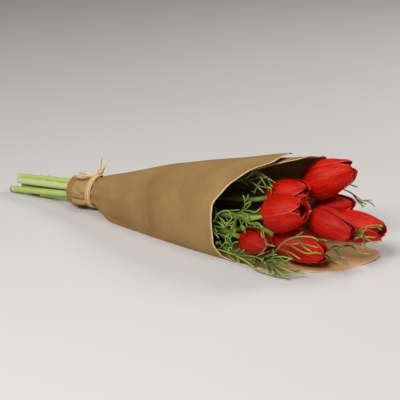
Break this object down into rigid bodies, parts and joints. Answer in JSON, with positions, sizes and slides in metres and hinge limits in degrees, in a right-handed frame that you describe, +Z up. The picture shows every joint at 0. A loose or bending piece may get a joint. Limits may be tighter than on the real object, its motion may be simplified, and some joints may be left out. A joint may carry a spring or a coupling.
{
  "type": "artificial tulip bunch",
  "caption": "Artificial tulips and plastic fern rolled in a kraft paper cone, gathered at the neck with a raffia tie, lying on its flattened side.",
  "frame": {"origin": "on the table, under the middle of the paper cone's flat belly", "axes": "+X from the cut stem ends towards the flowers, +Y to the far side of the picture, +Z up from the table"},
  "size_m": [0.5013, 0.1418, 0.114],
  "materials": {
    "kraft_paper": "matt brown kraft with fine ribbing",
    "raffia": "dry natural fibre",
    "stem_plastic": "satin moulded",
    "core_wire": "drawn wire",
    "petal_red": "satin soft-touch",
    "petal_inner": "satin soft-touch",
    "flower_centre": "matt moulded",
    "fern_plastic": "satin moulded"
  },
  "bodies": {
    "wrap": {"kraft_wrapper": "kraft_paper", "raffia_binding": "raffia", "raffia_knot": "raffia"},
    "bunch": {"tulip_1_stem": "stem_plastic", "tulip_2_stem": "stem_plastic", "tulip_3_stem": "stem_plastic", "tulip_4_stem": "stem_plastic", "tulip_5_stem": "stem_plastic", "tulip_6_stem": "stem_plastic", "tulip_7_stem": "stem_plastic", "tulip_8_stem": "stem_plastic", "tulip_1_wire": "core_wire", "tulip_2_wire": "core_wire", "tulip_3_wire": "core_wire", "tulip_4_wire": "core_wire", "tulip_5_wire": "core_wire", "tulip_6_wire": "core_wire", "tulip_7_wire": "core_wire", "tulip_8_wire": "core_wire", "fern_sprig_1": "fern_plastic", "fern_sprig_2": "fern_plastic", "fern_sprig_3": "fern_plastic", "fern_sprig_4": "fern_plastic", "fern_sprig_5": "fern_plastic"},
    "head_1": {"tulip_1_outer_petals": "petal_red", "tulip_1_inner_petals": "petal_inner", "tulip_1_centre": "flower_centre"},
    "head_2": {"tulip_2_outer_petals": "petal_red", "tulip_2_inner_petals": "petal_inner", "tulip_2_centre": "flower_centre"},
    "head_3": {"tulip_3_outer_petals": "petal_red", "tulip_3_inner_petals": "petal_inner", "tulip_3_centre": "flower_centre"},
    "head_4": {"tulip_4_outer_petals": "petal_red", "tulip_4_inner_petals": "petal_inner", "tulip_4_centre": "flower_centre"},
    "head_5": {"tulip_5_outer_petals": "petal_red", "tulip_5_inner_petals": "petal_inner", "tulip_5_centre": "flower_centre"},
    "head_6": {"tulip_6_outer_petals": "petal_red", "tulip_6_inner_petals": "petal_inner", "tulip_6_centre": "flower_centre"},
    "head_7": {"tulip_7_outer_petals": "petal_red", "tulip_7_inner_petals": "petal_inner", "tulip_7_centre": "flower_centre"},
    "head_8": {"tulip_8_outer_petals": "petal_red", "tulip_8_inner_petals": "petal_inner", "tulip_8_centre": "flower_centre"}
  },
  "joints": [
    {"name": "bunch_slide", "type": "slide", "parent": "wrap", "child": "bunch", "axis": [0.9936, 0, 0.1132], "range_m": [0, 0.5]},
    {"name": "head_1_turn", "type": "hinge", "parent": "bunch", "child": "head_1", "pos_m": [0.1428, 0.0353, 0.07], "axis": [0.8754, 0.2346, 0.4226], "continuous": true},
    {"name": "head_2_turn", "type": "hinge", "parent": "bunch", "child": "head_2", "pos_m": [0.1177, 0.0043, 0.0615], "axis": [0.9449, 0.033, 0.3256], "continuous": true},
    {"name": "head_3_turn", "type": "hinge", "parent": "bunch", "child": "head_3", "pos_m": [0.134, -0.035, 0.0553], "axis": [0.9471, 0.0579, 0.3156], "continuous": true},
    {"name": "head_4_turn", "type": "hinge", "parent": "bunch", "child": "head_4", "pos_m": [0.107, -0.0344, 0.0242], "axis": [0.978, -0.2079, 0.0174], "continuous": true},
    {"name": "head_5_turn", "type": "hinge", "parent": "bunch", "child": "head_5", "pos_m": [0.1365, -0.0165, 0.028], "axis": [0.9831, 0.0172, -0.1822], "continuous": true},
    {"name": "head_6_turn", "type": "hinge", "parent": "bunch", "child": "head_6", "pos_m": [0.1715, 0.001, 0.053], "axis": [0.9737, -0.1368, -0.1822], "continuous": true},
    {"name": "head_7_turn", "type": "hinge", "parent": "bunch", "child": "head_7", "pos_m": [0.149, 0.054, 0.041], "axis": [0.974, -0.0255, 0.2249], "continuous": true},
    {"name": "head_8_turn", "type": "hinge", "parent": "bunch", "child": "head_8", "pos_m": [0.188, 0.0303, 0.0376], "axis": [0.9997, 0, 0.0227], "continuous": true}
  ]
}
